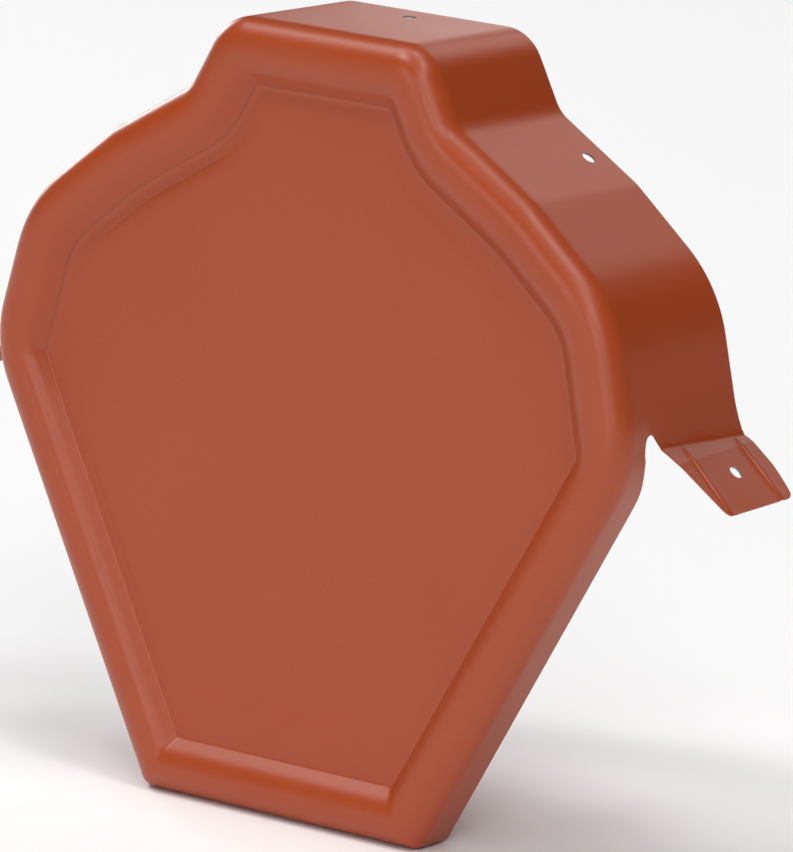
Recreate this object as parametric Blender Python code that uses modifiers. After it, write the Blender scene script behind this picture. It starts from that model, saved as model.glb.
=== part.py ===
# Pressed sheet-metal end cap for a roof ridge: a shallow pan closes the end of the ridge,
# a deep skirt reaches back over the ridge tile, and two flared tabs take the fixing screws.
# Written for Blender 4.5. Lengths are in millimetres and become metres where meshes are made.
# +Z is up, the face looks towards -Y, and the skirt runs back towards +Y.
# The origin is the middle of the seat, the flat underside of the crown that rests on the ridge.

import bpy
import bmesh
import math
from mathutils import Matrix, Vector

METRE = 0.001

# Sheet and rim
sheet = 0.6                  # wall of the pressed sheet
rim_radius = 9.5             # roll between the skirt and the face
recess = 7.0                 # how far the panel lies behind the front of the rim
rim_width_upper = 22.6       # skirt to panel, measured in the plane of the face
rim_width_lower = 19.3       # the same along the taper and the foot

# Outline of the face: half widths, and drops below the top of the crown
crown_half_width = 40.2
neck_half_width = 53.3
neck_drop = 25.4
shoulder_half_width = 84.7
shoulder_drop = 44.9
hip_half_width = 118.2
hip_drop = 73.3
waist_half_width = 130.0
waist_drop = 124.0
foot_half_width = 55.8
foot_drop = 265.6

# Roundings of that outline at the skirt, and at the edge of the panel
crown_radius = 15.5
neck_radius = 13.0
shoulder_radius = 22.0
hip_radius = 50.0
waist_radius = 42.0
foot_radius = 8.0
panel_corner_radius = 1.2
panel_neck_radius = 55.0
panel_shoulder_radius = 90.0
panel_hip_radius = 25.0

# Depths behind the front of the rim
wall_depth = 22.5            # low wall at the foot
wall_depth_waist = 20.7      # the same below the notch, where the wall has grown
wall_blend_drop = 20.0       # height over which it grows
skirt_depth_crown = 65.5     # skirt at the crown
skirt_depth_waist = 69.4     # skirt above the tabs
fold_flare = 2.2             # more depth at the fold itself
fold_flare_drop = 13.0       # height over which the rear edge flares

# Tab, one on each side
fold_drop = 121.3            # corner between skirt and tab, below the top of the crown
tab_length = 29.1
tab_pitch = math.radians(38.0)
tab_bend_radius = 3.0
tab_corner_radius = 2.6
tab_front = 22.6             # front edge of the tab at the fold, behind the front of the rim
tab_front_taper = 7.6
tab_rear_flare = 1.2
tab_rear_taper = 3.3
tab_widest = 0.5             # share of its length at which the tab is widest
tab_taper_curve = 1.4        # bow of the rear edge past the widest place
bead_half_width = 1.3
bead_height = 0.7
bead_slant = 1.8
bead_end_fade = 0.35         # smaller holds the bead's full height closer to its ends
bead_margin = 1.1            # least room from a bead to the tab's edge, in bead half widths
front_bead = 33.5            # place of each bead at the fold
rear_bead = 65.1

# Relief notch between the low wall and the tab
notch_front = 15.7
notch_radius = 1.9           # round top; from there the rear side slants to the tab's front edge
notch_top_drop = 115.0
notch_below_fold = 0.4
edge_overlap = 1.0           # the notch cutter trims this much off the wall's edge

# Screw holes
screw_hole_diameter = 4.8
crown_hole_setback = 12.6    # from the rear edge
shoulder_hole_setback = 10.0
shoulder_hole_run = 21.8     # from the neck corner, down the slope
tab_hole_run = 14.6          # from the fold, down the tab
tab_hole_depth = 50.3
hole_cut_length = 7.2
notch_cut_reach = 4.2        # to each side of the skirt

# Fineness of the faceted surface
crown_steps = 5
neck_steps = 4
shoulder_steps = 3
hip_steps = 5
waist_steps = 5
foot_steps = 4
roll_steps = 5
rim_inner_steps = 2
bend_steps = 4
hole_sides = 20
notch_steps = 8
tab_columns = (0.15, 0.3, 0.5, 0.7)           # shares of the flat of the tab
tab_end_columns = (1.0, 0.5, 0.13, 0.0)       # shares of its corner rounding, from the end
column_gap = 0.02                             # least step between columns, in corners
straight_limit = 0.48                         # share of a straight that one rounding may use
sharp_angle = math.radians(35.0)

coating_colour = (0.36, 0.085, 0.036, 1.0)
coating_roughness = 0.42

# The six corners of the half outline, crown to foot
neck, hip, waist = 1, 3, 4
corner_steps = [crown_steps, neck_steps, shoulder_steps, hip_steps, waist_steps, foot_steps]
corner_places = [
    (crown_half_width, 0.0),
    (neck_half_width, -neck_drop),
    (shoulder_half_width, -shoulder_drop),
    (hip_half_width, -hip_drop),
    (waist_half_width, -waist_drop),
    (foot_half_width, -foot_drop),
]
skirt_radii = [crown_radius, neck_radius, shoulder_radius, hip_radius, waist_radius, foot_radius]
panel_radii = [
    panel_corner_radius,
    panel_neck_radius,
    panel_shoulder_radius,
    panel_hip_radius,
    panel_corner_radius,
    panel_corner_radius,
]

seat_depth = 0.5 * (rim_radius + skirt_depth_crown - crown_hole_setback - 0.5 * screw_hole_diameter)


def to_part(x, depth, height):
    """Point of the part in metres, from depth behind the rim's front and height at the crown's top."""
    return Vector((x, depth - seat_depth, height + sheet)) * METRE


def edge_offsets(upper, lower):
    """Inward shift of the seven edges of the half outline, crown to foot."""
    return [upper] * (waist + 1) + [lower] * 2


def shifted_outline(upper, lower, share):
    """Corners of the half outline moved inward, each with its tangents and rounding.

    share is 0 at the skirt and 1 at the panel, and blends the roundings between the two.
    """
    corners = [Vector(place) for place in corner_places]
    first = Vector((-corners[0].x, corners[0].y))
    last = Vector((-corners[-1].x, corners[-1].y))
    chain = [first] + corners + [last]
    offsets = edge_offsets(upper, lower)
    directions = [(b - a).normalized() for a, b in zip(chain, chain[1:])]
    starts = []
    for point, run, offset in zip(chain, directions, offsets):
        starts.append(point + Vector((run.y, -run.x)) * offset)
    moved = []
    for i in range(len(corners)):
        before, after = directions[i], directions[i + 1]
        gap = starts[i + 1] - starts[i]
        turn = before.x * after.y - before.y * after.x
        along = (gap.x * after.y - gap.y * after.x) / turn
        moved.append(starts[i] + before * along)
    spans = [2.0 * moved[0].x]
    spans += [(b - a).length for a, b in zip(moved, moved[1:])]
    spans += [2.0 * moved[-1].x]
    arcs = []
    for i, corner in enumerate(moved):
        before, after = directions[i], directions[i + 1]
        bend = math.acos(max(-1.0, min(1.0, before.dot(after))))
        wanted = skirt_radii[i] + (panel_radii[i] - skirt_radii[i]) * share
        room = straight_limit * min(spans[i], spans[i + 1])
        radius = min(wanted, room / math.tan(0.5 * bend))
        arcs.append((corner, before, after, bend, radius))
    return arcs


def arc_point(arc, share):
    """Point at a share of the angle of one rounded corner."""
    corner, before, after, bend, radius = arc
    turn = before.x * after.y - before.y * after.x
    side = 1.0 if turn < 0.0 else -1.0
    tangent = radius * math.tan(0.5 * bend)
    start = corner - before * tangent
    inward = Vector((before.y, -before.x)) * side
    centre = start + inward * radius
    angle = -side * bend * share
    spoke = Matrix.Rotation(angle, 2) @ (-inward)
    return centre + spoke * radius


def outline_point(arcs, u):
    """Point of the half outline. Whole parts of u count corners; halves split arc and straight.

    u runs from 0 (middle of the crown) to 6.5 (middle of the foot): the stretch i to i + 0.5 is
    the straight before corner i, and i + 0.5 to i + 1 is the arc of corner i.
    """
    i = int(u)
    part = u - i
    if i < len(arcs) and part >= 0.5:
        return arc_point(arcs[i], 2.0 * (part - 0.5))
    before = Vector((0.0, arcs[0][0].y)) if i == 0 else arc_point(arcs[i - 1], 1.0)
    after = Vector((0.0, arcs[-1][0].y)) if i == len(arcs) else arc_point(arcs[i], 0.0)
    return before.lerp(after, 2.0 * part)


def u_at_height(arcs, height, low, high):
    """Place on the outline, between two values of u, where it passes a height."""
    for _ in range(40):
        middle = 0.5 * (low + high)
        if outline_point(arcs, middle).y > height:
            low = middle
        else:
            high = middle
    return 0.5 * (low + high)


def bevel_angle(width):
    """Slope of the straight bevel that is tangent to the roll and ends at the panel."""
    low, high = 0.0, 0.5 * math.pi
    for _ in range(40):
        angle = 0.5 * (low + high)
        run = width - rim_radius * (1.0 + math.sin(angle))
        drop = recess - rim_radius * (1.0 - math.cos(angle))
        if run > 0.0 and run * math.tan(angle) < drop:
            low = angle
        else:
            high = angle
    return angle


def rim_inner_offset(width, depth):
    """Inward offset, on the inner side of the rim, of a surface point at a given depth.

    The roll goes on past the front until it is tangent to the straight bevel that ends at the panel.
    """
    angle = bevel_angle(width)
    roll_depth = rim_radius * (1.0 - math.cos(angle))
    if depth <= roll_depth:
        return rim_radius + math.sqrt(rim_radius ** 2 - (rim_radius - depth) ** 2)
    share = (depth - roll_depth) / (recess - roll_depth)
    start = rim_radius * (1.0 + math.sin(angle))
    return start + (width - start) * share


def wall_edge(height):
    """Depth of the free edge of the low wall."""
    share = (-fold_drop - height) / wall_blend_drop
    share = max(0.0, min(1.0, share))
    start = notch_front + edge_overlap
    grown = start + (wall_depth_waist - start) * share * share * (3.0 - 2.0 * share)
    down = (-fold_drop - wall_blend_drop - height) / (foot_drop - fold_drop - wall_blend_drop)
    return grown + (wall_depth - wall_depth_waist) * max(0.0, down)


def rim_sections():
    """Offsets (upper edges, lower edges) and depth of each row, from the wall to the panel."""
    rows = [(0.0, 0.0, rim_radius)]
    for step in range(1, roll_steps + 1):
        angle = 0.5 * math.pi * step / roll_steps
        offset = rim_radius * (1.0 - math.cos(angle))
        rows.append((offset, offset, rim_radius * (1.0 - math.sin(angle))))
    for step in range(1, rim_inner_steps + 2):
        angle = bevel_angle(rim_width_upper) * step / (rim_inner_steps + 1)
        depth = rim_radius * (1.0 - math.cos(angle))
        rows.append((rim_inner_offset(rim_width_upper, depth), rim_inner_offset(rim_width_lower, depth), depth))
    rows.append((rim_width_upper, rim_width_lower, recess))
    return rows


def skirt_arcs():
    return shifted_outline(0.0, 0.0, 0.0)


def fold_geometry(arcs):
    """Corner of the fold, its directions and the start of its bend, in the plane of the face."""
    slope = arcs[waist][1]
    straight_end = arc_point(arcs[hip], 1.0)
    corner = straight_end + slope * ((straight_end.y + fold_drop) / -slope.y)
    flare = Vector((math.cos(tab_pitch), -math.sin(tab_pitch)))
    bend = math.acos(slope.dot(flare))
    tangent = tab_bend_radius * math.tan(0.5 * bend)
    return corner, slope, flare, bend, tangent


def skirt_depth(height):
    """Depth of the skirt's rear edge, which leans back towards the tabs and flares at the fold."""
    share = max(0.0, min(1.0, -height / fold_drop))
    flare = max(0.0, min(1.0, 1.0 - (fold_drop + height) / fold_flare_drop))
    return skirt_depth_crown + (skirt_depth_waist - skirt_depth_crown) * share + fold_flare * flare * flare


def tab_edges(run):
    """Front and rear edge of the tab at a run down from the fold, with rounded end corners."""
    share = max(0.0, run / tab_length)
    front = tab_front + tab_front_taper * share
    swell = min(1.0, share / tab_widest)
    rear = skirt_depth(-fold_drop) + tab_rear_flare * swell * (2.0 - swell)
    rear -= tab_rear_taper * max(0.0, (share - tab_widest) / (1.0 - tab_widest)) ** tab_taper_curve
    left = tab_length - run
    if left < tab_corner_radius:
        inset = tab_corner_radius - math.sqrt(max(0.0, tab_corner_radius ** 2 - (tab_corner_radius - left) ** 2))
        front += inset
        rear -= inset
    return front, rear


def tab_rows(run):
    """Depth and bead height of the eight rows across the tab at a run down from the fold."""
    front, rear = tab_edges(run)
    share = max(0.0, run / tab_length)
    rise = bead_height * max(0.0, math.sin(math.pi * min(1.0, share))) ** bead_end_fade
    rows = [(front, 0.0)]
    for bead in (front_bead, rear_bead):
        middle = bead - bead_slant * share
        margin = bead_margin * bead_half_width
        middle = min(max(middle, front + margin), rear - margin)
        rows += [(middle - bead_half_width, 0.0), (middle, rise), (middle + bead_half_width, 0.0)]
    rows.append((rear, 0.0))
    return rows


def tab_runs():
    """Runs down from the end of the bend at which the tab gets a column."""
    corner, slope, flare, bend, tangent = fold_geometry(skirt_arcs())
    flat = tab_length - tangent
    runs = [tangent + flat * share for share in tab_columns]
    runs += [tab_length - tab_corner_radius * share for share in tab_end_columns]
    return runs


def outline_columns(arcs, fold_u):
    """Values of u at which the outline gets a vertex, also where the wall reaches its full depth."""
    full_wall_u = u_at_height(arcs, -fold_drop - wall_blend_drop, waist + 0.5, waist + 1.5)
    columns = [0.0]
    for i, steps in enumerate(corner_steps):
        columns += [i + 0.5 + 0.5 * step / steps for step in range(steps + 1)]
    columns.append(len(corner_steps) + 0.5)
    kept = [u for u in columns if min(abs(u - fold_u), abs(u - full_wall_u)) > column_gap]
    return sorted(kept + [fold_u, full_wall_u])


def half_shell(name):
    """Open surface of the right half: pan, low wall, skirt and tab."""
    arcs = skirt_arcs()
    corner, slope, flare, bend, tangent = fold_geometry(arcs)
    bend_start = corner - slope * tangent
    fold_u = u_at_height(arcs, bend_start.y, waist, waist + 1)
    columns = outline_columns(arcs, fold_u)
    skirt_columns = [u for u in columns if u <= fold_u]

    mesh = bmesh.new()

    def row_of(points):
        return [mesh.verts.new(point) for point in points]

    def join(first, second):
        for a, b, c, d in zip(first, first[1:], second[1:], second):
            mesh.faces.new((a, b, c, d))

    outer = [outline_point(arcs, u) for u in columns]
    edge = row_of([to_part(p.x, wall_edge(p.y), p.y) for p in outer])
    previous = edge
    for upper, lower, depth in rim_sections():
        row_arcs = shifted_outline(upper, lower, upper / rim_width_upper)
        points = [outline_point(row_arcs, u) for u in columns]
        row = row_of([to_part(p.x, depth, p.y) for p in points])
        join(previous, row)
        previous = row
    mesh.faces.new(previous)

    straight_end = arc_point(arcs[hip], 1.0)
    skirt_points = []
    for u in skirt_columns:
        point = outline_point(arcs, u)
        if u > waist + 0.5:
            point = straight_end + slope * ((straight_end.y - point.y) / -slope.y)
        skirt_points.append(point)
    centre = bend_start + Vector((-slope.y, slope.x)) * tab_bend_radius
    bend_points = []
    for step in range(1, bend_steps + 1):
        turn = Matrix.Rotation(bend * step / bend_steps, 2)
        bend_points.append(centre + turn @ (bend_start - centre))
    normal = Vector((-flare.y, flare.x))

    fold_rows = tab_rows(0.0)
    last_rows = [None] * len(fold_rows)
    front_row = edge[:len(skirt_columns)]
    for k, (fold_depth, _) in enumerate(fold_rows):
        share = (fold_depth - tab_front) / (skirt_depth(-fold_drop) - tab_front)
        points = []
        for p in skirt_points:
            points.append(to_part(p.x, tab_front + (skirt_depth(p.y) - tab_front) * share, p.y))
        for p in bend_points:
            points.append(to_part(p.x, fold_depth, p.y))
        for run in tab_runs():
            depth, rise = tab_rows(run)[k]
            p = corner + flare * run + normal * rise
            points.append(to_part(p.x, depth, p.y))
        last_rows[k] = row_of(points)
    join(last_rows[0][:len(front_row)], front_row)
    for first, second in zip(last_rows, last_rows[1:]):
        join(second, first)

    bmesh.ops.remove_doubles(mesh, verts=mesh.verts, dist=0.02 * METRE)
    bmesh.ops.dissolve_degenerate(mesh, edges=mesh.edges, dist=0.01 * METRE)
    bmesh.ops.recalc_face_normals(mesh, faces=mesh.faces)
    front_face = min(mesh.faces, key=lambda face: face.calc_center_median().y)
    if front_face.normal.y > 0.0:
        bmesh.ops.reverse_faces(mesh, faces=mesh.faces)
    data = bpy.data.meshes.new(name)
    mesh.to_mesh(data)
    mesh.free()
    return data


def coating_material(name):
    """Factory-coated steel in a plain tile red."""
    material = bpy.data.materials.new(name)
    material.use_nodes = True
    shader = material.node_tree.nodes["Principled BSDF"]
    shader.inputs["Base Color"].default_value = coating_colour
    shader.inputs["Roughness"].default_value = coating_roughness
    shader.inputs["Metallic"].default_value = 0.0
    return material


def cutter_cylinder(collection, name, centre, axis, radius):
    """Cylinder for a hole, on a given axis."""
    mesh = bmesh.new()
    bmesh.ops.create_cone(
        mesh,
        cap_ends=True,
        segments=hole_sides,
        radius1=radius * METRE,
        radius2=radius * METRE,
        depth=hole_cut_length * METRE,
    )
    data = bpy.data.meshes.new(name)
    mesh.to_mesh(data)
    mesh.free()
    cutter = bpy.data.objects.new(name, data)
    cutter.rotation_euler = axis.to_track_quat("Z", "Y").to_euler()
    cutter.location = centre
    return as_cutter(collection, cutter)


def as_cutter(collection, cutter):
    cutter.hide_render = True
    cutter.display_type = "WIRE"
    collection.objects.link(cutter)
    return cutter


def notch_cutter(collection, side):
    """Slot that parts the tab from the low wall.

    Its top is round. Its rear side is the tangent from that round to the tab's front edge.
    """
    corner = fold_geometry(skirt_arcs())[0]
    centre = Vector((notch_front + notch_radius, -notch_top_drop - notch_radius))
    bottom = -fold_drop - notch_below_fold
    away = Vector((tab_front, -fold_drop)) - centre
    tangent_angle = math.atan2(away.y, away.x) + math.acos(min(1.0, notch_radius / away.length))
    profile = [(notch_front, bottom), (tab_front, bottom), (tab_front, -fold_drop)]
    for step in range(notch_steps + 1):
        angle = tangent_angle + (math.pi - tangent_angle) * step / notch_steps
        profile.append((centre.x + notch_radius * math.cos(angle), centre.y + notch_radius * math.sin(angle)))
    mesh = bmesh.new()
    near = [mesh.verts.new(to_part(side * (corner.x - notch_cut_reach), y, z)) for y, z in profile]
    far = [mesh.verts.new(to_part(side * (corner.x + notch_cut_reach), y, z)) for y, z in profile]
    mesh.faces.new(near)
    mesh.faces.new(far)
    for i in range(len(profile)):
        j = (i + 1) % len(profile)
        mesh.faces.new((near[i], near[j], far[j], far[i]))
    bmesh.ops.recalc_face_normals(mesh, faces=mesh.faces)
    data = bpy.data.meshes.new("notch_cutter")
    mesh.to_mesh(data)
    mesh.free()
    return as_cutter(collection, bpy.data.objects.new("notch_cutter", data))


def hole_cutters(collection):
    """Cylinders for the five screw holes: crown, two shoulders, two tabs."""
    radius = 0.5 * screw_hole_diameter
    cutters = []
    centre = to_part(0.0, skirt_depth_crown - crown_hole_setback, -0.5 * sheet)
    cutters.append(cutter_cylinder(collection, "crown_hole", centre, Vector((0, 0, 1)), radius))
    arcs = skirt_arcs()
    start, slope = arcs[neck][0], arcs[neck][2]
    place = start + slope * shoulder_hole_run
    depth = skirt_depth(place.y) - shoulder_hole_setback
    corner, _, flare, _, _ = fold_geometry(arcs)
    on_tab = corner + flare * tab_hole_run
    for side in (1, -1):
        centre = to_part(side * place.x, depth, place.y)
        axis = Vector((-side * slope.y, 0.0, slope.x))
        cutters.append(cutter_cylinder(collection, "shoulder_hole", centre, axis, radius))
        centre = to_part(side * on_tab.x, tab_hole_depth, on_tab.y)
        axis = Vector((-side * flare.y, 0.0, flare.x))
        cutters.append(cutter_cylinder(collection, "tab_hole", centre, axis, radius))
    return cutters


def ridge_cap(parts, cutters):
    """The whole cap: mirrored half shell, thickened, with its notches and holes."""
    cap = bpy.data.objects.new("ridge_cap", half_shell("ridge_cap"))
    parts.objects.link(cap)
    cap.data.materials.append(coating_material("tile_red_coating"))
    mirror = cap.modifiers.new("both halves", "MIRROR")
    mirror.use_axis = (True, False, False)
    mirror.use_clip = True
    mirror.merge_threshold = 0.00002
    shell = cap.modifiers.new("sheet", "SOLIDIFY")
    shell.thickness = sheet * METRE
    shell.offset = -1.0
    shell.use_even_offset = True
    shell.use_quality_normals = True
    tools = [notch_cutter(cutters, side) for side in (1, -1)] + hole_cutters(cutters)
    for tool in tools:
        cut = cap.modifiers.new(tool.name, "BOOLEAN")
        cut.operation = "DIFFERENCE"
        cut.solver = "EXACT"
        cut.object = tool
    cap.data.shade_smooth()
    cap.data.set_sharp_from_angle(angle=sharp_angle)
    return cap


def build():
    for item in list(bpy.data.objects):
        bpy.data.objects.remove(item, do_unlink=True)
    parts = bpy.data.collections.new("ridge end cap")
    cutters = bpy.data.collections.new("cutters")
    bpy.context.scene.collection.children.link(parts)
    bpy.context.scene.collection.children.link(cutters)
    ridge_cap(parts, cutters)


build()
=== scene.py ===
# Looks of the pressed sheet-metal ridge end cap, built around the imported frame.
# Lengths in the dictionaries are millimetres; meshes are metres, +Z up, the face looks to -Y.

import math

import bpy
import numpy as np
from mathutils import Matrix, Vector


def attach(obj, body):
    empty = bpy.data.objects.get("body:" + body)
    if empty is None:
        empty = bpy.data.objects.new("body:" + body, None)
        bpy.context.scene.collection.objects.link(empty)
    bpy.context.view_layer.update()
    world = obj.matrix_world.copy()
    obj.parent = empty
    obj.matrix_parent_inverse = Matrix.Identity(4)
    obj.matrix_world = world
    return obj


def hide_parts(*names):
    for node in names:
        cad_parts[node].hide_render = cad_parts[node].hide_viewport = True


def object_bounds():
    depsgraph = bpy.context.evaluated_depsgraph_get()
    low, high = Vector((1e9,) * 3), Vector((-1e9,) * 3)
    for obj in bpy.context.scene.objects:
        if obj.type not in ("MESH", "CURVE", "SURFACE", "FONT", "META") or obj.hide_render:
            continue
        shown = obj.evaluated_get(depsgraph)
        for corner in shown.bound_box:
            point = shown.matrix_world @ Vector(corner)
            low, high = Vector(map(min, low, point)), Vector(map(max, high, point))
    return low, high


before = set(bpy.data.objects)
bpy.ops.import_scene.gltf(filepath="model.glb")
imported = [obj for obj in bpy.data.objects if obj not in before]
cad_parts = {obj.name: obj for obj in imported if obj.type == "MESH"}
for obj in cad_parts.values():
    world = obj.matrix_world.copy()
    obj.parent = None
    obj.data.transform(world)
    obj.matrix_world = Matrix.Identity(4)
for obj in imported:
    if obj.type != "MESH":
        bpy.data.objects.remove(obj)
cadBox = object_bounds()
print("frame loaded")

mm = 0.001

cap = {
    "sheet": 0.6,
    "rimRadius": 9.5,
    "recess": 7.0,
    "recessLower": 6.2,          # the panel's edge lies less deep along the taper and the foot
    "rimUpper": 22.6,
    "rimLower": 19.3,
    "land": 1.9,                 # extra nearly flat width on the crest of the upper rim
    "landAngles": (60, 100),     # degrees round the roll over which it is spread
    # half width and drop of each corner of the outline: crown, neck, shoulder, hip, waist, foot
    "corners": [(40.2, 0.0), (53.3, 25.4), (84.7, 44.9), (118.2, 73.3), (130.0, 124.0), (55.8, 265.6)],
    "skirtRadii": [15.5, 13.0, 22.0, 50.0, 42.0, 4.0],
    "panelRadii": [1.6, 55.0, 90.0, 25.0, 1.6, 1.6],
    "arcSteps": [14, 8, 5, 12, 14, 12],
    "straightSteps": [3, 3, 3, 5, 6, 22, 8],
    "wallDepth": 22.5,
    "wallWaist": 20.7,           # depth of the low wall below the notch
    "wallBlend": 20.0,
    "skirtCrown": 65.5,
    "skirtWaist": 69.4,
    "foldFlare": 2.2,            # the rear edge swings out by this much at the fold
    "foldFlareDrop": 13.0,
    "foldDrop": 121.3,
    "rollRows": 22,
    "bevelRows": 8,
    "creaseRadius": 3.0,         # fillet between the bevel and the panel
    "creaseRadiusLower": 0.8,
    "creaseRows": 6,
    "grooveDepth": 0.12,         # the panel sinks this much at the crease
    "grooveWidth": 3.6,
    "grooveRows": 7,
    "lowerReach": 40.0,          # height over which the upper rim section turns into the lower
    "wallShares": [0.0, 0.3, 0.65],          # rows of the low wall, from its free edge to the roll
    "panelRows": 16,
    "panelSpacing": 0.85,        # power that spaces the panel's rows from its edge inward
    "spine": (75.0, 125.0),      # top and length of the upright line to which the rows shrink
    "panelLevel": 0.5,           # share of the way to the middle at which the panel is at full depth
    "seat": 30.0,                # depth of the origin behind the rim's front
}

tab = {
    "length": 29.1,
    "pitch": 38.0,               # degrees below level
    "bendRadius": 3.0,
    "cornerRadius": 2.6,
    "front": 22.6,
    "frontTaper": 7.6,
    "rearFlare": 1.15,
    "rearTaper": 3.3,
    "taperCurve": 1.4,
    "beadHalf": 1.3,
    "beadHeight": 0.7,
    "beadSlant": 1.8,
    "frontBead": 33.5,
    "rearBead": 65.1,
    "foldRise": 2.0,             # the fold lies this much higher at the front edge than at the rear
    "endRise": 1.3,              # and the tab's end this much higher at the rear
    "kinkFront": 7.9,            # a second slight bend crosses the tab this far from the fold, at the front
    "kinkRear": 4.4,
    "kinkRise": 0.085,           # rise of the tab above its plane per run, up to that bend
    "kinkHalf": 0.2,
    "beadFade": 0.35,            # power by which the beads run out at the fold and the end
    "beadMargin": 1.1,           # least distance of a bead from an edge, in bead half widths
    "bendSteps": 8,
    "roundingSteps": 8,
}

notch = {
    "front": 15.7,
    "radius": 2.6,               # round top; from there the rear side slants to the tab's front edge
    "topDrop": 115.0,
    "below": 0.4,
    "edgeStep": 1.0,
    "stepReach": 0.8,
    "columns": 7,
    "reach": 9.0,                # height above the round's centre over which the grid adapts to it
}

holes = {
    "radius": 2.4,
    "patch": 5.4,                # half size of the square of grid around a hole
    "rings": [0.15, 0.3, 0.445, 0.6, 0.78, 1.0],   # the third ring is the hole's edge
    "crownSetback": 12.6,
    "shoulderSetback": 10.0,
    "shoulderRun": 21.8,
    "tabRun": 14.6,
    "tabDepth": 50.3,
    "toShoulder": (12.0, 38.0),  # start and length of the swing of the holes' line to the shoulder's
    "toTab": (60.0, 50.0),       # and of the swing to the tab's
    "wallReach": 1.3,            # edges within this many radii are a hole's wall
}
edgeRing = holes["rings"][2]

cameraFit = {
    "focalPixels": 7461.0,
    "centre": (447.3, 434.1),
    "picture": (793, 852),
    "azimuth": 33.92,
    "elevation": 11.83,
    "roll": -3.651,
    "origin": (-42.61, -130.8, 2424.0),      # of the crown's front, seen from the camera
}


# Outline of the face
# A half outline is six corners joined by straights and rounded by arcs. The place along it is u:
# i to i + 0.5 is the straight before corner i, i + 0.5 to i + 1 is the arc of corner i.

corners = np.array([(x, -drop) for x, drop in cap["corners"]])
chain = np.vstack([corners[0] * (-1, 1), corners, corners[-1] * (-1, 1)])
edgeRun = np.diff(chain, axis=0)
edgeRun /= np.linalg.norm(edgeRun, axis=1)[:, None]
turnBefore, turnAfter = edgeRun[:-1], edgeRun[1:]
cornerCross = turnBefore[:, 0] * turnAfter[:, 1] - turnBefore[:, 1] * turnAfter[:, 0]
cornerBend = np.arccos(np.clip((turnBefore * turnAfter).sum(axis=1), -1, 1))
cornerSide = np.where(cornerCross < 0, 1.0, -1.0)


def quarterTurn(v):
    # each vector turned a quarter clockwise
    return np.stack([v[..., 1], -v[..., 0]], axis=-1)


def outline(u, upper=0.0, lower=0.0, blend=0.0):
    # Points of the half outline moved inward. upper, lower and blend may be arrays over rows.
    # A moved corner is the old one plus (next offset x run before - own offset x run after) / cross
    # product of the runs; arcs are centre + radius x spoke turned by a share of the bend.
    upper, lower, blend = (np.atleast_1d(np.asarray(v, float)) for v in (upper, lower, blend))
    rows = max(len(upper), len(lower), len(blend))
    upper, lower, blend = (np.broadcast_to(v, rows) for v in (upper, lower, blend))
    own = np.stack([upper] * 5 + [lower], axis=1)[..., None]
    following = np.stack([upper] * 4 + [lower] * 2, axis=1)[..., None]
    moved = corners + (following * turnBefore - own * turnAfter) / cornerCross[:, None]
    spans = np.linalg.norm(np.diff(moved, axis=1), axis=2)
    spans = np.concatenate([2 * moved[:, :1, 0], spans, 2 * moved[:, -1:, 0]], axis=1)
    blend = blend[:, None]
    wanted = np.array(cap["skirtRadii"]) * (1 - blend) + np.array(cap["panelRadii"]) * blend
    room = 0.48 * np.minimum(spans[:, :-1], spans[:, 1:])
    radius = np.minimum(wanted, room / np.tan(0.5 * cornerBend))
    tangent = (radius * np.tan(0.5 * cornerBend))[..., None]
    starts = moved - turnBefore * tangent
    ends = moved + turnAfter * tangent
    inward = quarterTurn(turnBefore) * cornerSide[:, None]
    centres = starts + inward * radius[..., None]

    corner = np.minimum(u.astype(int), 6)
    part = u - corner
    onArc = (part >= 0.5) & (corner < 6)
    arc = np.minimum(corner, 5)
    angle = -cornerSide[arc] * cornerBend[arc] * 2 * (part - 0.5)
    spoke = -inward[arc]
    turned = np.stack([
        spoke[:, 0] * np.cos(angle) - spoke[:, 1] * np.sin(angle),
        spoke[:, 0] * np.sin(angle) + spoke[:, 1] * np.cos(angle),
    ], axis=1)
    arcPoints = centres[:, arc] + turned[None] * radius[:, arc][..., None]
    top = np.stack([np.zeros(rows), moved[:, 0, 1]], axis=1)[:, None]
    bottom = np.stack([np.zeros(rows), moved[:, -1, 1]], axis=1)[:, None]
    before = np.concatenate([top, ends], axis=1)[:, corner]
    after = np.concatenate([starts, bottom], axis=1)[:, corner]
    straightPoints = before + (after - before) * (2 * part)[None, :, None]
    return np.where(onArc[None, :, None], arcPoints, straightPoints)


def uAtHeight(height, low, high):
    # place on the skirt's outline between low and high where it passes a height, by table look-up
    u = np.linspace(low, high, 4001)
    return float(np.interp(-height, -outline(u)[0, :, 1], u))


def uAtRun(corner, run):
    # place on the straight after a corner, a given run from that corner
    u = np.array([corner + 1.0, corner + 1.4999])
    a, b = outline(u)[0]
    first = np.linalg.norm(a - corners[corner])
    return float(corner + 1 + 0.4999 * (run - first) / np.linalg.norm(b - a))


def smooth(t):
    t = np.clip(t, 0, 1)
    return t * t * (3 - 2 * t)


# Fold and tab in the plane of the face

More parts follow.
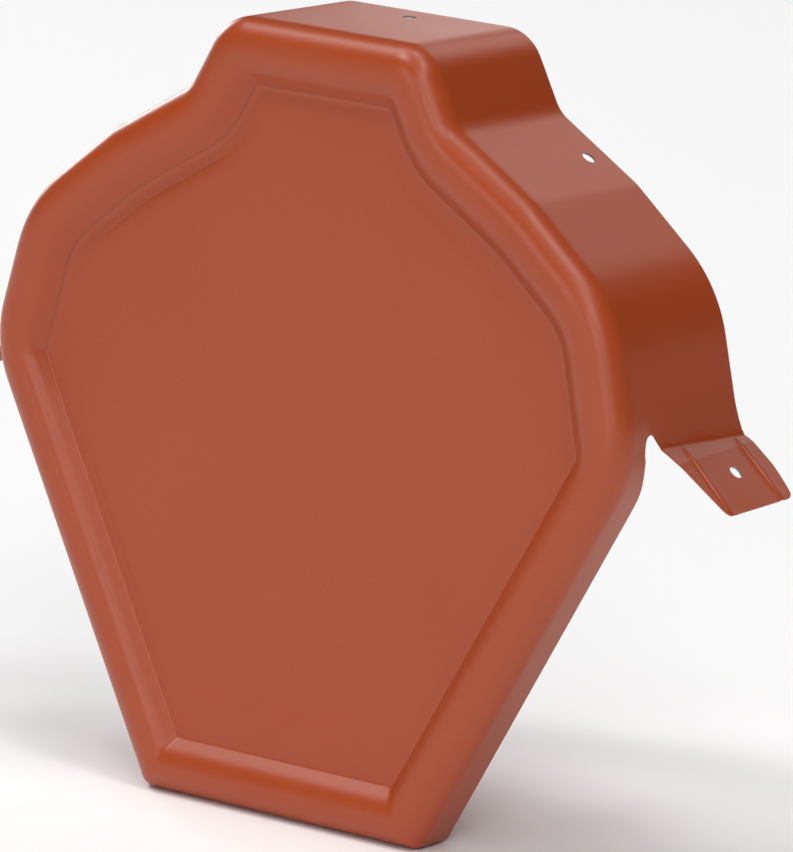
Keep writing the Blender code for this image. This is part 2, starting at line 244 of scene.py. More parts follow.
foldSlope = turnBefore[4]
hipEnd = outline(np.array([4.0]))[0, 0]
foldCorner = hipEnd + foldSlope * (hipEnd[1] + cap["foldDrop"]) / -foldSlope[1]
tabPitch = math.radians(tab["pitch"])
tabRun = np.array([math.cos(tabPitch), -math.sin(tabPitch)])
tabUp = np.array([math.sin(tabPitch), math.cos(tabPitch)])
foldBend = math.acos(float(foldSlope @ tabRun))
foldTangent = tab["bendRadius"] * math.tan(0.5 * foldBend)
bendStart = foldCorner - foldSlope * foldTangent
foldU = uAtHeight(bendStart[1], 4.0, 5.0)
notchSpring = -notch["topDrop"] - notch["radius"]      # height of the centre of the notch's round top
notchReachTop = notchSpring + notch["reach"]
notchStartU = uAtHeight(notchReachTop, 4.0, 5.0)
notchEndU = uAtHeight(notchSpring, 4.0, 5.0)


def notchTangent():
    # depth and height at which the notch's slanted side leaves its round top, towards the tab's edge
    centre = np.array([notch["front"] + notch["radius"], notchSpring])
    away = np.array([tab["front"], -cap["foldDrop"]]) - centre
    angle = math.atan2(away[1], away[0]) + math.acos(notch["radius"] / float(np.linalg.norm(away)))
    return centre + notch["radius"] * np.array([math.cos(angle), math.sin(angle)])


tangentDepth, tangentHeight = notchTangent()


def skirtRear(height):
    # depth of the skirt's rear edge: leans back evenly from the crown, then flares at the fold
    share = np.clip(-height / cap["foldDrop"], 0, 1)
    flare = np.clip(1 - (cap["foldDrop"] + height) / cap["foldFlareDrop"], 0, 1)
    leant = cap["skirtCrown"] + (cap["skirtWaist"] - cap["skirtCrown"]) * share
    return leant + cap["foldFlare"] * flare ** 2


def patchPlaces(centre):
    # places of grid lines through a hole: the centre and each ring on both sides
    rings = np.array(holes["rings"]) * holes["patch"]
    return np.concatenate([centre - rings[::-1], [centre], centre + rings])


def columnPlaces():
    # Values of u at which the grid has a column, dense on arcs, around holes and at the notch.
    crownTangent = outline(np.array([0.5]))[0, 0, 0]
    crown = 0.5 * patchPlaces(0.0)[len(holes["rings"]):] / crownTangent
    shoulder = [uAtRun(1, run) for run in patchPlaces(holes["shoulderRun"])]
    heights = notchReachTop - notch["reach"] * np.linspace(0, 1, notch["columns"] + 1)
    notchPlaces = [uAtHeight(z, 4.0, 5.0) for z in heights]
    places = [crown, shoulder, notchPlaces, [foldU]]
    for i, steps in enumerate(cap["arcSteps"]):
        places.append(np.linspace(i + 0.5, i + 1.0, steps + 1))
    for i, steps in enumerate(cap["straightSteps"]):
        places.append(np.linspace(i, i + 0.5, steps + 1))
    kept = sorted(crown.tolist() + shoulder + notchPlaces + [foldU])
    loose = sorted(set(np.concatenate(places[4:]).tolist()))
    busy = [(0.0, crown[-1]), (shoulder[0], shoulder[-1]), (notchStartU, notchEndU)]
    gap, last = 0.02, 6.5
    loose = [u for u in loose if not any(a - gap < u < b + gap for a, b in busy)]
    loose = [u for u in loose if abs(u - foldU) > gap and u < last]
    return np.array(sorted(set(kept + loose + [last])))


columns = columnPlaces()
skirtColumns = columns[columns <= foldU + 1e-9]
notchColumns = int((columns <= notchEndU + 1e-9).sum())
print("columns", len(columns), "of which", len(skirtColumns), "on the skirt")


# Section of the rim

def bevelAngle(width, recess):
    # slope of the bevel that is tangent to the roll and reaches the panel, by halving
    low, high = 0.0, 0.5 * math.pi
    for _ in range(40):
        angle = 0.5 * (low + high)
        run = width - cap["rimRadius"] * (1 + math.sin(angle))
        drop = recess - cap["rimRadius"] * (1 - math.cos(angle))
        if run > 0 and run * math.tan(angle) < drop:
            low = angle
        else:
            high = angle
    return angle


def rimSection(width, recess, land, fillet, groove):
    # Offset and depth of each row from the skirt to the panel.
    # Roll: offset r(1 - cos a) + land x smooth step, depth r(1 - sin a), a from 0 past the crest to
    # 90 degrees + bevel. Then the straight bevel, a fillet tangent to the bevel and the panel, and
    # a shallow groove that rises to the panel by a smooth step.
    angle = bevelAngle(width - land, recess)
    r = cap["rimRadius"]
    a = np.linspace(0, 0.5 * math.pi + angle, cap["rollRows"] + 1)
    begin, end = np.radians(cap["landAngles"])
    spread = land * smooth((a - begin) / (end - begin))
    roll = np.stack([r * (1 - np.cos(a)) + spread, r * (1 - np.sin(a))], axis=1)
    tangent = fillet * math.tan(0.5 * angle)
    crease = np.array([width, recess + groove])
    back = crease - tangent * np.array([math.cos(angle), math.sin(angle)])
    t = np.linspace(0, 1, cap["bevelRows"] + 1)[1:, None]
    bevel = roll[-1] + (back - roll[-1]) * t
    b = np.linspace(angle, 0, cap["creaseRows"] + 1)[1:]
    centre = crease + np.array([tangent, -fillet])
    bend = centre + fillet * np.stack([-np.sin(b), np.cos(b)], axis=1)
    s = np.linspace(0, 1, cap["grooveRows"] + 1)[1:]
    rise = np.stack([bend[-1, 0] + cap["grooveWidth"] * s, crease[1] - groove * smooth(s)], axis=1)
    return np.vstack([roll, bevel, bend, rise])


def placed(x, depth, height):
    # metres in the part's frame from half width, depth behind the rim and height at the crown
    return np.stack(np.broadcast_arrays(x, depth - cap["seat"], height + cap["sheet"]), axis=-1) * mm


def wallEdge(height):
    # Depth of the low wall's free edge: the notch's side, a small step, a smooth growth, a slow one.
    share = smooth((-cap["foldDrop"] - height) / cap["wallBlend"])
    start = notch["front"] + notch["edgeStep"]
    step = smooth((-cap["foldDrop"] - notch["below"] - height) / notch["stepReach"] + 0.5)
    lowest = cap["corners"][-1][1] - cap["foldDrop"] - cap["wallBlend"]
    down = np.maximum(0, (-cap["foldDrop"] - cap["wallBlend"] - height) / lowest)
    grown = notch["front"] + notch["edgeStep"] * step + (cap["wallWaist"] - start) * share
    return grown + (cap["wallDepth"] - cap["wallWaist"]) * down


relief = {
    "dome": 0.25,                # the panel bulges this much in its middle
    "reach": 105.0,
    "middle": 125.0,             # drop of the bulge's middle below the crown
    "plateau": 1.6,
    "ripple": 0.03,              # height and lengths of the faint ripples left by pressing
    "rippleAcross": 17.0,
    "rippleDown": 23.0,
    "rippleSway": 31.0,
    "swayShift": 1.1,
    "rippleStart": 0.8,
}


def panelRelief(x, height):
    # a low pillow, level in its middle, x (dome + product of two sine waves, one of them swaying)
    reach = relief["reach"]
    across = np.clip(1 - (x / reach) ** 2, 0, 1)
    down = np.clip(1 - ((height + relief["middle"]) / reach) ** 2, 0, 1)
    sway = relief["swayShift"] * np.sin(height / relief["rippleSway"])
    wave = relief["ripple"] * np.sin(x / relief["rippleAcross"] + sway)
    ripple = wave * np.sin(height / relief["rippleDown"] + relief["rippleStart"])
    return (relief["dome"] + ripple) * smooth(across * down * relief["plateau"])


def panSurface():
    # Grid of the pan's right half: wall edge, wall, roll, bevel, crease, groove, panel.
    # Rows up to the groove are inward offsets of the outline; the panel's rows shrink the last of
    # them towards an upright spine on the middle line, and the relief lifts them forward. The lower
    # section takes over by a smooth step of height round the waist. Also returns the crease's mask of
    # painted shade and dust.
    width, fillet = cap["rimUpper"], cap["creaseRadius"]
    upper = rimSection(width, cap["recess"], cap["land"], fillet, cap["grooveDepth"])
    lower = rimSection(cap["rimLower"], cap["recessLower"], 0.0, cap["creaseRadiusLower"], 0.0)
    blend = np.clip(upper[:, 0] / width, 0, 1)
    points = outline(columns, upper[:, 0], lower[:, 0], blend)
    waistHeight = np.interp(4.75, columns, points[-1][:, 1])     # middle of the waist's arc
    toLower = smooth(0.5 + (waistHeight - points[..., 1]) / cap["lowerReach"])
    depth = upper[:, 1:] * (1 - toLower) + lower[:, 1:] * toLower
    edge = points[:1]
    edgeDepth = wallEdge(edge[..., 1])
    wallShares = np.array(cap["wallShares"])[:, None]
    wallDepth = edgeDepth + (cap["rimRadius"] - edgeDepth) * wallShares
    wall = np.repeat(edge, len(wallShares), axis=0)
    loop, loopDepth = points[-1], depth[-1]
    length = np.concatenate([[0], np.cumsum(np.linalg.norm(np.diff(loop, axis=0), axis=1))])
    top, drop = cap["spine"]
    spine = np.stack([np.zeros(len(loop)), -top - drop * length / length[-1]], axis=1)
    t = (np.linspace(0, 1, cap["panelRows"] + 1)[1:] ** cap["panelSpacing"])[:, None, None]
    panel = loop + (spine - loop) * t
    level = smooth(t[..., 0] / cap["panelLevel"])
    panelDepth = loopDepth + (cap["recess"] - loopDepth) * level
    flat = np.concatenate([wall, points, panel])
    deep = np.concatenate([wallDepth, depth, panelDepth])
    onPanel = len(wall) + len(points) - 1
    deep[onPanel:] -= panelRelief(flat[onPanel:, :, 0], flat[onPanel:, :, 1])
    # mask of painted crease shade, partly dust: 1 on the crease row of the upper section, fading out on the
    # lower
    shadeAndDust = np.zeros(deep.shape)
    creaseRow = cap["rollRows"] + cap["bevelRows"]
    shadeAndDust[len(wall) + creaseRow] = 1 - toLower[creaseRow]
    return placed(flat[..., 0], deep, flat[..., 1]), shadeAndDust


# Skirt and tab: one grid, columns run over the skirt, round the fold and down the tab

kinkRun = 0.5 * (tab["kinkFront"] + tab["kinkRear"])
notchIndex = np.arange(int((skirtColumns < notchStartU - 1e-9).sum()), notchColumns)
notchShare = np.linspace(0, 1, len(notchIndex))


def straightAt(height):
    # half width of the skirt's straight side, carried on below the waist's rounding
    return hipEnd[0] + foldSlope[0] * (hipEnd[1] - height) / -foldSlope[1]


def roundedAt(height):
    # half width of the rounded outline near the waist at a height, by table look-up
    table = outline(np.linspace(4.0, 5.0, 2001))[0]
    return np.interp(-height, -table[:, 1], table[:, 0])


def tabRuns():
    # runs from the fold corner at which the tab has a column, dense at the hole and the end corners
    hole = patchPlaces(holes["tabRun"])
    near = np.linspace(foldTangent, kinkRun, 4)[1:-1]
    kink = kinkRun + np.array([-1, 0, 1]) * tab["kinkHalf"]
    first = np.concatenate([near, kink, [0.5 * (kinkRun + hole[0])]])
    turn = np.linspace(0, 0.5 * math.pi, tab["roundingSteps"])
    rounding = tab["length"] - tab["cornerRadius"] * (1 - np.sin(turn))
    last = np.linspace(hole[-1], rounding[0], 5)[1:-1]
    return np.concatenate([first, hole, last, rounding])


def sheetPath():
    # Places of the skirt's and the tab's columns in the plane of the face, and their run down the tab.
    # Skirt: the outline, carried on straight below the waist's rounding. Fold: centre + spoke turned
    # by a share of the bend. Tab: fold corner + run.
    skirt = outline(skirtColumns)[0]
    skirt[notchIndex, 1] = notchReachTop + (tangentHeight - notchReachTop) * notchShare
    below = skirtColumns > 4.5
    skirt[below, 0] = straightAt(skirt[below, 1])
    centre = bendStart - quarterTurn(foldSlope) * tab["bendRadius"]
    turn = np.linspace(0, foldBend, tab["bendSteps"])[1:]
    spoke = bendStart - centre
    bend = centre + np.stack([
        spoke[0] * np.cos(turn) - spoke[1] * np.sin(turn),
        spoke[0] * np.sin(turn) + spoke[1] * np.cos(turn),
    ], axis=1)
    runs = tabRuns()
    flat = foldCorner + tabRun * runs[:, None]
    runAlong = np.concatenate([np.full(len(skirt), -1.0), np.zeros(len(bend)), runs])
    return np.vstack([skirt, bend, flat]), runAlong


def rowAnchors(path, run):
    # Depths that the rows of the skirt keep to, for every column, front to rear.
    # They are the notch's two sides, both sides of each bead, both sides of the hole patch and the
    # rear edge. The hole's line swings smoothly from one hole's depth to the next.
    share = np.clip(run / tab["length"], 0, 1)
    rear = np.where(run < 0, skirtRear(path[:, 1]), 0)
    swell = np.minimum(1, share / 0.5)
    tabRear = skirtRear(-cap["foldDrop"]) + tab["rearFlare"] * swell * (2 - swell)
    tabRear -= tab["rearTaper"] * np.clip((share - 0.5) / 0.5, 0, 1) ** tab["taperCurve"]
    rear = np.where(run < 0, rear, tabRear)
    slant = np.clip((tangentHeight - path[:, 1]) / (tangentHeight + cap["foldDrop"]), 0, 1)
    front = tangentDepth + (tab["front"] - tangentDepth) * slant
    front = np.where(run > 0, tab["front"] + tab["frontTaper"] * share, front)
    radius = tab["cornerRadius"]
    left = np.clip(tab["length"] - run, 0, radius)
    inset = radius - np.sqrt(np.maximum(0, radius ** 2 - (radius - left) ** 2))
    inset = np.where(run > 0, inset, 0)
    front, rear = front + inset, rear - inset

    shoulderPlace = corners[1] + turnAfter[1] * holes["shoulderRun"]
    shoulderDepth = skirtRear(shoulderPlace[1]) - holes["shoulderSetback"]
    crownDepth = cap["skirtCrown"] - holes["crownSetback"]
    begin, length = holes["toShoulder"]
    toShoulder = smooth((path[:, 0] - begin) / length)
    begin, length = holes["toTab"]
    toTab = smooth((-path[:, 1] - begin) / length)
    hole = crownDepth + (shoulderDepth - crownDepth) * toShoulder
    hole = hole + (holes["tabDepth"] - hole) * np.where(run < 0, toTab, 1)
    slant = tab["beadSlant"] * share
    margin = tab["beadMargin"] * tab["beadHalf"]
    frontBead = np.maximum(tab["frontBead"] - slant, front + margin)
    rearBead = np.minimum(tab["rearBead"] - slant, rear - margin)
    upward = np.where(run < 0, smooth(toTab), 1)
    rearBead = rearBead * upward + (1 - upward) * 0.5 * (hole + holes["patch"] + rear)
    half = tab["beadHalf"] * (0.4 + 0.6 * upward)
    side = np.full(len(path), notch["front"])
    return np.stack([side, front, frontBead - half, frontBead + half, hole - holes["patch"],
                     hole, hole + holes["patch"], rearBead - half, rearBead + half, rear])


def askewTab(flat, depth, path, run):
    # Skews the tab a little. The fold lies higher at the front and the end higher at the rear: a shift
    # along the skirt or the tab x share of the way x share of the depth. At the slight second bend one
    # column follows the bend's line, and the tab rises towards it from both sides.
    reached = np.where(run > 0, (flat - foldCorner) @ tabRun, run)
    along = np.clip(reached / tab["length"], 0, 1)
    toFold = np.clip((tangentHeight - path[:, 1]) / (tangentHeight + cap["foldDrop"]), 0, 1)
    toFold = np.where(run < 0, toFold, 1 - along)
    rearward = np.clip((depth - tab["front"]) / (skirtRear(-cap["foldDrop"]) - tab["front"]), 0, 1)
    flat = flat - (tab["foldRise"] * toFold * (1 - rearward))[..., None] * foldSlope
    flat = flat - (tab["endRise"] * along * rearward)[..., None] * tabRun
    reach = np.interp(reached, [foldTangent, kinkRun, holes["tabRun"] - holes["patch"]], [0, 1, 0])
    shift = 0.5 * (tab["kinkFront"] - tab["kinkRear"]) * (1 - 2 * rearward) * reach
    place = np.maximum(0, reached + shift)
    kinkPlace = tab["kinkFront"] + (tab["kinkRear"] - tab["kinkFront"]) * rearward
    onward = kinkPlace * (tab["length"] - place) / (tab["length"] - kinkPlace)
    flat = flat + shift[..., None] * tabRun
    return flat + (tab["kinkRise"] * np.minimum(place, onward))[..., None] * tabUp


rowCounts = [8, 3, 8, 3, None, None, 2, 8, 2]      # rows in each band; None: the rings of a hole
beadBands = (2, 7)
beforeHole = 4


def skirtSurface():
    # Grid of the right half of the skirt with its fold and tab.
    # A row's depth is a share between two anchors. Beads rise along the tab's normal by a cosine bump.
    # Inside a hole's patch, each square ring of the grid is drawn in so that the ring of the hole's
    # edge becomes a circle. Behind the notch's round top, strip columns end on that round.
    path, run = sheetPath()
    anchors = rowAnchors(path, run)
    rings = np.array(holes["rings"])
    depth, bump = [anchors[0]], [np.zeros(len(path))]
    for k, count in enumerate(rowCounts):
        low, high = anchors[k], anchors[k + 1]
        if count is None:
            shares = np.append(1 - rings[-2::-1], 1.0) if k == beforeHole else rings
        else:
            shares = np.linspace(0, 1, count + 1)[1:]
        for share in shares:
            rise = 0.5 - 0.5 * math.cos(2 * math.pi * share) if k in beadBands else 0.0
            depth.append(low + (high - low) * share)
            bump.append(np.full(len(path), rise))
    depth, bump = np.array(depth), np.array(bump)
    strip = rowCounts[0]

    along = np.clip(run / tab["length"], 0, 1)
    fade = np.clip(np.sin(math.pi * along), 0, 1) ** tab["beadFade"]
    flat = path[None] + (bump * fade * tab["beadHeight"])[..., None] * tabUp

    # strip columns end on the round top of the notch
    for row in range(strip):
        away = depth[row, notchColumns - 1] - (notch["front"] + notch["radius"])
        height = notchSpring + math.sqrt(max(0.0, notch["radius"] ** 2 - away ** 2))
        flat[row, notchIndex, 1] = notchReachTop + (height - notchReachTop) * notchShare

    # below the start of the waist's rounding the sheet turns from the rounded outline to the straight
    turning = np.flatnonzero((skirtColumns > 4.5) & (skirtColumns <= foldU))
    height = flat[:, turning, 1]
    freed = smooth((depth[:, turning] - notch["front"]) / (tab["front"] - notch["front"]))
    rounded = roundedAt(height)
    flat[:, turning, 0] = rounded + (straightAt(height) - rounded) * freed
    flat[0, :len(skirtColumns)] = outline(skirtColumns)[0]

    # square rings drawn in to circles
    middle = sum(rowCounts[:beforeHole]) + len(rings)
    shoulderPlace = corners[1] + turnAfter[1] * holes["shoulderRun"]
    holePlaces = [
        (np.array([0.0, 0.0]), np.array([1.0, 0.0])),
        (shoulderPlace, turnAfter[1]),
        (foldCorner + tabRun * holes["tabRun"], tabRun),
    ]
    rows = np.arange(middle - len(rings), middle + len(rings) + 1)
    cut = np.zeros(depth.shape, bool)
    slack = 0.05
    for number, (place, direction) in enumerate(holePlaces):
        near = np.abs((path - place) @ direction) <= holes["patch"] + 1e-6
        near &= np.abs((path - place) @ quarterTurn(direction)) < slack
        near &= (run > 0) == (number == 2)
        cols = np.flatnonzero(near)
        p = ((path[cols] - place) @ direction)[None, :] * np.ones((len(rows), 1))
        q = depth[np.ix_(rows, cols)] - depth[middle, cols][None]
        square = np.maximum(np.abs(p), np.abs(q)) / holes["patch"]
        reach = np.hypot(p, q)
        pull = smooth((1 - square) / (1 - edgeRing))
        radius = holes["radius"] * np.where(square < edgeRing, square / edgeRing, 1)
        scale = np.where(reach > 1e-9, 1 - pull + pull * radius / np.maximum(reach, 1e-9), 1)
        flat[np.ix_(rows, cols)] = place + direction * (p * scale)[..., None]
        depth[np.ix_(rows, cols)] = depth[middle, cols][None] + q * scale
        cut[np.ix_(rows, cols)] = square < edgeRing - 1e-6

    flat = askewTab(flat, depth, path, run)
    grid = placed(flat[..., 0], depth, flat[..., 1])
    face = ~(cut[:-1, :-1] | cut[1:, :-1] | cut[:-1, 1:] | cut[1:, 1:])
    face[:strip, notchColumns - 1:] = False
    return grid, face


# Meshes from grids

def gridFaces(rows, cols, start=0):
    # corner numbers of every quad of a grid, row by row
    i = np.arange(rows - 1)[:, None] * cols + np.arange(cols - 1)[None]
    return (np.stack([i, i + 1, i + cols + 1, i + cols], axis=-1) + start).reshape(-1, 4)


def welded(points, faces, step=0.00002):
    # Merges points that fall in the same small cell. Returns which points are kept, and the new faces.
    cells = np.round(points / step).astype(np.int64)
    _, first, place = np.unique(cells, axis=0, return_index=True, return_inverse=True)
    return first, place.reshape(-1)[faces]


def newellNormals(points, faces):
    # face normals as half the cross product of the diagonals, so their length is the area
    a, b, c, d = (points[faces[:, k]] for k in range(4))
    return 0.5 * np.cross(c - a, d - b)


def capMesh():
    # Closed sheet: outer skin, inner skin moved back along the normals, and quads round all edges.
    pan, panShadeAndDust = panSurface()
    skirt, shown = skirtSurface()
    panFaces = gridFaces(*pan.shape[:2])
    skirtFaces = gridFaces(*skirt.shape[:2], start=pan.shape[0] * pan.shape[1])[shown.reshape(-1)]
    half = np.concatenate([pan.reshape(-1, 3), skirt.reshape(-1, 3)])
    faces = np.concatenate([panFaces, skirtFaces[:, ::-1]])
    half[np.abs(half[:, 0]) < 0.00001, 0] = 0.0
    points = np.concatenate([half, half * (-1, 1, 1)])
    shadeAndDust = np.tile(np.concatenate([panShadeAndDust.reshape(-1), np.zeros(skirt[..., 0].size)]), 2)
    faces = np.concatenate([faces, faces[:, ::-1] + len(half)])
    kept, faces = welded(points, faces)
    used = np.unique(faces)
    renumber = np.full(len(kept), -1)
    renumber[used] = np.arange(len(used))
    points, shadeAndDust, faces = points[kept[used]], shadeAndDust[kept[used]], renumber[faces]
    ordered = np.sort(faces, axis=1)
    sides = (np.diff(ordered, axis=1) != 0).sum(axis=1)
    faces = faces[sides >= 2]
    normals = newellNormals(points, faces)
    if normals[:, 1].sum() > 0:
        faces = faces[:, ::-1]
        normals = -normals
    vertexNormals = np.zeros_like(points)
    for k in range(4):
        np.add.at(vertexNormals, faces[:, k], normals)
    vertexNormals /= np.maximum(np.linalg.norm(vertexNormals, axis=1), 1e-12)[:, None]
    inner = points - vertexNormals * cap["sheet"] * mm
    count = len(points)
    edges = np.concatenate([faces[:, [k, (k + 1) % 4]] for k in range(4)])
    edges = edges[edges[:, 0] != edges[:, 1]]
    key = np.sort(edges, axis=1) @ np.array([count, 1])
    _, where, times = np.unique(key, return_index=True, return_counts=True)
    rim = edges[where[times == 1]]
    rimFaces = np.stack([rim[:, 1], rim[:, 0], rim[:, 0] + count, rim[:, 1] + count], axis=1)
    allFaces = np.concatenate([faces, faces[:, ::-1] + count, rimFaces])
    middle = points[rim].mean(axis=1)
    slots = np.concatenate([np.zeros(len(faces), int), np.full(len(faces), 1), rimSlots(middle)])
    return np.concatenate([points, inner]), allFaces, slots, np.concatenate([shadeAndDust, np.zeros(count)])


def rimSlots(middle):
    # bare zinc on the walls of the punched holes, coating on all other edges
    shoulder = corners[1] + turnAfter[1] * holes["shoulderRun"]
    onTab = foldCorner + tabRun * holes["tabRun"]
    centres = [
        placed(0.0, cap["skirtCrown"] - holes["crownSetback"], 0.0),
        placed(shoulder[0], skirtRear(shoulder[1]) - holes["shoulderSetback"], shoulder[1]),
        placed(onTab[0], holes["tabDepth"], onTab[1]),
    ]
    folded = np.abs(middle) * (1, 0, 0) + middle * (0, 1, 1)
    distance = np.min([np.linalg.norm(folded - centre, axis=1) for centre in centres], axis=0)
    return np.where(distance < holes["wallReach"] * holes["radius"] * mm, 2, 0)


sharpAngle = 42.0


def meshObject(name, points, faces, slots, materials):
    # an object at the origin, smooth but for edges sharper than the angle; corners that met are one
    mesh = bpy.data.meshes.new(name)
    distinct = [tuple(dict.fromkeys(face)) for face in faces.tolist()]
    mesh.from_pydata(points.tolist(), [], distinct)
    mesh.polygons.foreach_set("material_index", slots.astype(np.int32))
    for material in materials:
        mesh.materials.append(material)
    mesh.validate()
    mesh.shade_smooth()
    mesh.set_sharp_from_angle(angle=math.radians(sharpAngle))
    made = bpy.data.objects.new(name, mesh)
    bpy.context.scene.collection.objects.link(made)
    return made


# Shader maths

class Socket:
    # A node socket that can be used in sums and products.

    def __init__(self, tree, link):
        self.tree = tree
        self.link = link

    def node(self, kind, settings=None, inputs=None, output=0):
        made = self.tree.nodes.new(kind)
        for name, value in (settings or {}).items():
            setattr(made, name, value)
        for name, value in (inputs or {}).items():
            target = made.inputs[name]
            if isinstance(value, Socket):
                self.tree.links.new(value.link, target)
            else:
                target.default_value = value
        return Socket(self.tree, made.outputs[output])

    def math(self, operation, first, second=0.0):
        return self.node("ShaderNodeMath", {"operation": operation}, {0: first, 1: second})

    def __add__(self, other):
        return self.math("ADD", self, other)

    def __radd__(self, other):
        return self.math("ADD", other, self)

    def __sub__(self, other):
        return self.math("SUBTRACT", self, other)

    def __rsub__(self, other):
        return self.math("SUBTRACT", other, self)

    def __mul__(self, other):
        return self.math("MULTIPLY", self, other)

    def __rmul__(self, other):
        return self.math("MULTIPLY", other, self)

    def step(self, low, high):
        # 0 below low, 1 above high, smooth between
        return self.node("ShaderNodeMapRange", {"interpolation_type": "SMOOTHSTEP"},
                         {0: self, 1: low, 2: high, 3: 0.0, 4: 1.0})


coating = {
    "colour": (0.370, 0.056, 0.012, 1.0),
    "dark": (0.315, 0.044, 0.009, 1.0),
    "light": (0.430, 0.074, 0.020, 1.0),
    "grainTone": 0.9,            # how much each noise shifts the colour and the roughness
    "fineTone": 0.5,
    "cloudTone": 0.35,
    "roughness": 0.36,
    "reverseDull": 0.12,
    "grainRough": 0.12,
    "cloudRough": 0.06,
    "grainSize": 0.45,
    "fineness": 2.3,
    "cloudScale": 22.0,
    "grainBump": 0.012,
    "shadeAndDust": (0.10, 0.030, 0.020, 1.0),       # painted shade: dark line where the bevel meets the panel, partly dust
    "creaseShade": 0.40,
}


def startMaterial(name):
    material = bpy.data.materials.new(name)
    material.use_nodes = True
    tree = material.node_tree
    shader = tree.nodes["Principled BSDF"]
    place = Socket(tree, tree.nodes.new("ShaderNodeTexCoord").outputs["Object"])
    return material, tree, shader, place


def mixed(factor, first, second):
    inputs = {0: factor, 6: first, 7: second}
    return factor.node("ShaderNodeMix", {"data_type": "RGBA"}, inputs, output=2)


def noise(place, scale, detail):
    inputs = {"Vector": place, "Scale": scale, "Detail": detail}
    return place.node("ShaderNodeTexNoise", {}, inputs)


def coatingMaterial(name, dull=0.0):
    # Satin coil coating: fine grain speckle over a faint cloudiness, with a pebbled surface.
    material, tree, shader, place = startMaterial(name)
    grainScale = 1.0 / (coating["grainSize"] * mm)
    grain = noise(place, grainScale, 2.0)
    fine = noise(place, coating["fineness"] * grainScale, 1.0)
    cloud = noise(place, coating["cloudScale"], 3.0)
    tone = 0.5 + (grain - 0.5) * coating["grainTone"] + (fine - 0.5) * coating["fineTone"]
    tone = tone + (cloud - 0.5) * coating["cloudTone"]
    darker = mixed(tone.step(0.05, 0.5), coating["dark"], coating["colour"])
    colour = mixed(tone.step(0.5, 0.95), darker, coating["light"])
    # painted shade in the crease, partly dust: darkens the colour along the crease row by creaseShade
    shadeAndDust = place.node("ShaderNodeAttribute", {"attribute_name": "creaseShadeAndDust"}, output=2)
    colour = mixed(shadeAndDust * coating["creaseShade"], colour, coating["shadeAndDust"])
    tree.links.new(colour.link, shader.inputs["Base Color"])
    rough = coating["roughness"] + dull + (grain - 0.5) * coating["grainRough"]
    rough = rough + (cloud - 0.5) * coating["cloudRough"]
    tree.links.new(rough.link, shader.inputs["Roughness"])
    height = grain * 0.6 + fine * 0.4
    inputs = {"Strength": 1.0, "Distance": coating["grainBump"] * mm, "Height": height}
    bump = height.node("ShaderNodeBump", {}, inputs)
    tree.links.new(bump.link, shader.inputs["Normal"])
    shader.inputs["IOR"].default_value = 1.5
    return material


zincEdge = {
    "dark": (0.16, 0.20, 0.24, 1.0),
    "light": (0.42, 0.48, 0.54, 1.0),
    "speckleScale": 4200.0,
    "roughness": 0.35,
    "roughSpread": 0.25,
    "metallic": 0.8,
}


def zincMaterial():
    # Bare cut edge: speckled grey zinc.
    material, tree, shader, place = startMaterial("zincEdge")
    speckle = noise(place, zincEdge["speckleScale"], 2.0)
    colour = mixed(speckle, zincEdge["dark"], zincEdge["light"])
    tree.links.new(colour.link, shader.inputs["Base Color"])
    rough = zincEdge["roughness"] + speckle * zincEdge["roughSpread"]
    tree.links.new(rough.link, shader.inputs["Roughness"])
    shader.inputs["Metallic"].default_value = zincEdge["metallic"]
    return material


faceCoating = coatingMaterial("tileRedCoating")
backCoating = coatingMaterial("reverseCoating", coating["reverseDull"])
zinc = zincMaterial()
points, faces, slots, shadeAndDust = capMesh()
ridgeCap = meshObject("ridgeCap", points, faces, slots, [faceCoating, backCoating, zinc])
# per-point weight of the painted crease shade and dust, read by the coating
creaseShadeAndDust = ridgeCap.data.attributes.new("creaseShadeAndDust", "FLOAT", "POINT")
creaseShadeAndDust.data.foreach_set("value", shadeAndDust.astype(np.float32))
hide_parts("ridge_cap")
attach(ridgeCap, "root")
print("cap made with", len(faces), "faces")


# Camera

def photoCamera():
    # Camera of the fitted view: view line from azimuth and elevation, sides turned by the roll.
    a, e, r = (math.radians(cameraFit[k]) for k in ("azimuth", "elevation", "roll"))
    view = Vector((-math.sin(a) * math.cos(e), math.cos(a) * math.cos(e), -math.sin(e)))
    right = Vector((math.cos(a), math.sin(a), 0.0))
    down = view.cross(right)
    turnedRight = right * math.cos(r) + down * math.sin(r)
    turnedDown = down * math.cos(r) - right * math.sin(r)
    x, y, z = cameraFit["origin"]
    place = -(turnedRight * x + turnedDown * y + view * z) + Vector((0, -cap["seat"], cap["sheet"]))
    data = bpy.data.cameras.new("photoCamera")
    width, height = cameraFit["picture"]
    data.sensor_width = 36.0
    data.lens = cameraFit["focalPixels"] / height * data.sensor_width
    data.shift_x = (0.5 * width - cameraFit["centre"][0]) / height
    data.shift_y = (cameraFit["centre"][1] - 0.5 * height) / height
    data.clip_end = 50.0
    camera = bpy.data.objects.new("photoCamera", data)
    basis = Matrix((turnedRight, -turnedDown, -view)).transposed().to_4x4()
    camera.matrix_world = Matrix.Translation(place * mm) @ basis
    bpy.context.scene.collection.objects.link(camera)
    bpy.context.scene.camera = camera


# Studio

studio = {
    "floorSize": 60.0,           # metres here, and for the lights
    "floorPoints": 9,
    "floorColour": (0.98, 0.98, 0.98, 1.0),
    "floorRoughness": 0.8,
    "sky": 0.0,
    "lightDistance": 12.0,
    "aim": (0.0, 0.0, -0.12),
}

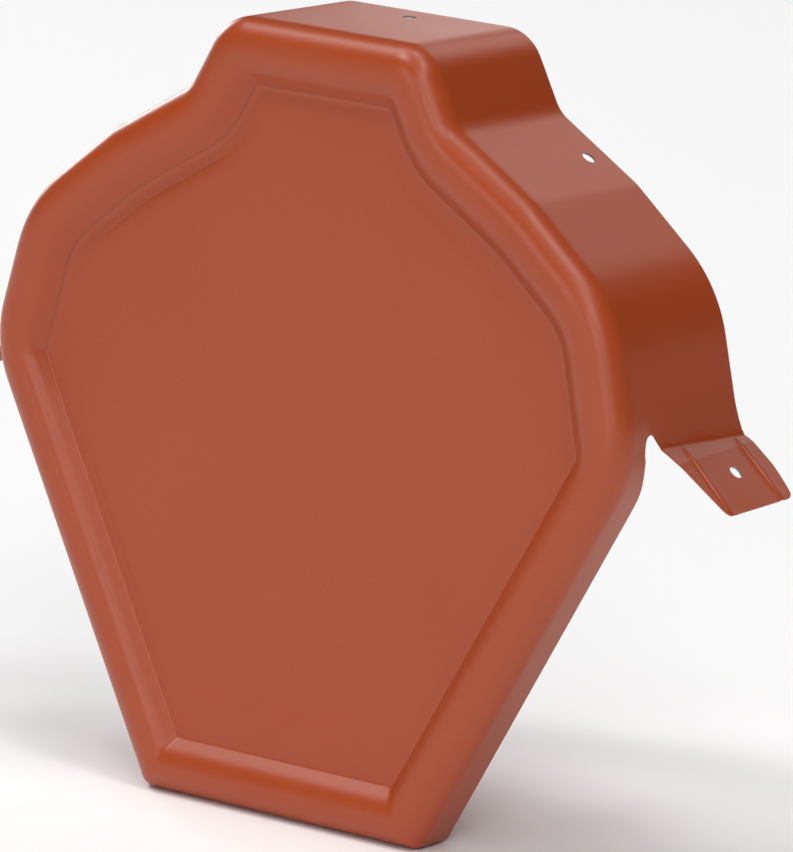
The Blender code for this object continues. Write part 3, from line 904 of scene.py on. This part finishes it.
# azimuth from the front towards the right, elevation, watts, side of the square
lights = {
    "key": (325, 58, 360, 1.7),
    "lowFront": (346, 11, 110, 1.7),
    "top": (0, 90, 255, 3.3),
    "highRight": (60, 62, 280, 3.3),
    "highLeft": (280, 62, 340, 4.0),
    "frontRight": (40, 36, 265, 4.0),
    "lowRight": (21, 12, 205, 4.2),
    "crownSheen": (46, 13, 82, 3.4),
    "backLeft": (240, 12, 330, 3.3),
    "back": (185, 32, 105, 5.0),
    "lowBack": (205, 12, 95, 4.4),
}


def makeFloor():
    size, count = studio["floorSize"], studio["floorPoints"]
    low = cadBox[0][2]
    side = np.linspace(-size, size, count)
    x, y = np.meshgrid(side, side)
    grid = np.stack([x, y, np.full_like(x, low)], axis=-1).reshape(-1, 3)
    material = bpy.data.materials.new("paleFloor")
    material.use_nodes = True
    shader = material.node_tree.nodes["Principled BSDF"]
    shader.inputs["Base Color"].default_value = studio["floorColour"]
    shader.inputs["Roughness"].default_value = studio["floorRoughness"]
    quads = gridFaces(count, count)
    floor = meshObject("floor", grid, quads, np.zeros(len(quads), int), [material])


def domeLight(name, azimuth, elevation, watts, size):
    # square light on a dome round the cap: direction (sin a cos e, -cos a cos e, sin e) x distance
    a, e = math.radians(azimuth), math.radians(elevation)
    away = Vector((math.sin(a) * math.cos(e), -math.cos(a) * math.cos(e), math.sin(e)))
    data = bpy.data.lights.new(name, "AREA")
    data.shape = "SQUARE"
    data.size = size
    data.energy = watts
    light = bpy.data.objects.new(name, data)
    place = Vector(studio["aim"]) + away * studio["lightDistance"]
    turn = (-away).to_track_quat("-Z", "Y").to_matrix().to_4x4()
    light.matrix_world = Matrix.Translation(place) @ turn
    light.visible_camera = False
    bpy.context.scene.collection.objects.link(light)


def makeLight():
    world = bpy.data.worlds.new("studio")
    bpy.context.scene.world = world
    world.use_nodes = True
    background = world.node_tree.nodes["Background"]
    background.inputs["Color"].default_value = (1.0, 1.0, 1.0, 1.0)
    background.inputs["Strength"].default_value = studio["sky"]
    for name, (azimuth, elevation, watts, size) in lights.items():
        domeLight(name, azimuth, elevation, watts, size)


photoCamera()
makeFloor()
makeLight()
bpy.context.scene.view_settings.view_transform = "Standard"
print("camera, floor and lights placed")
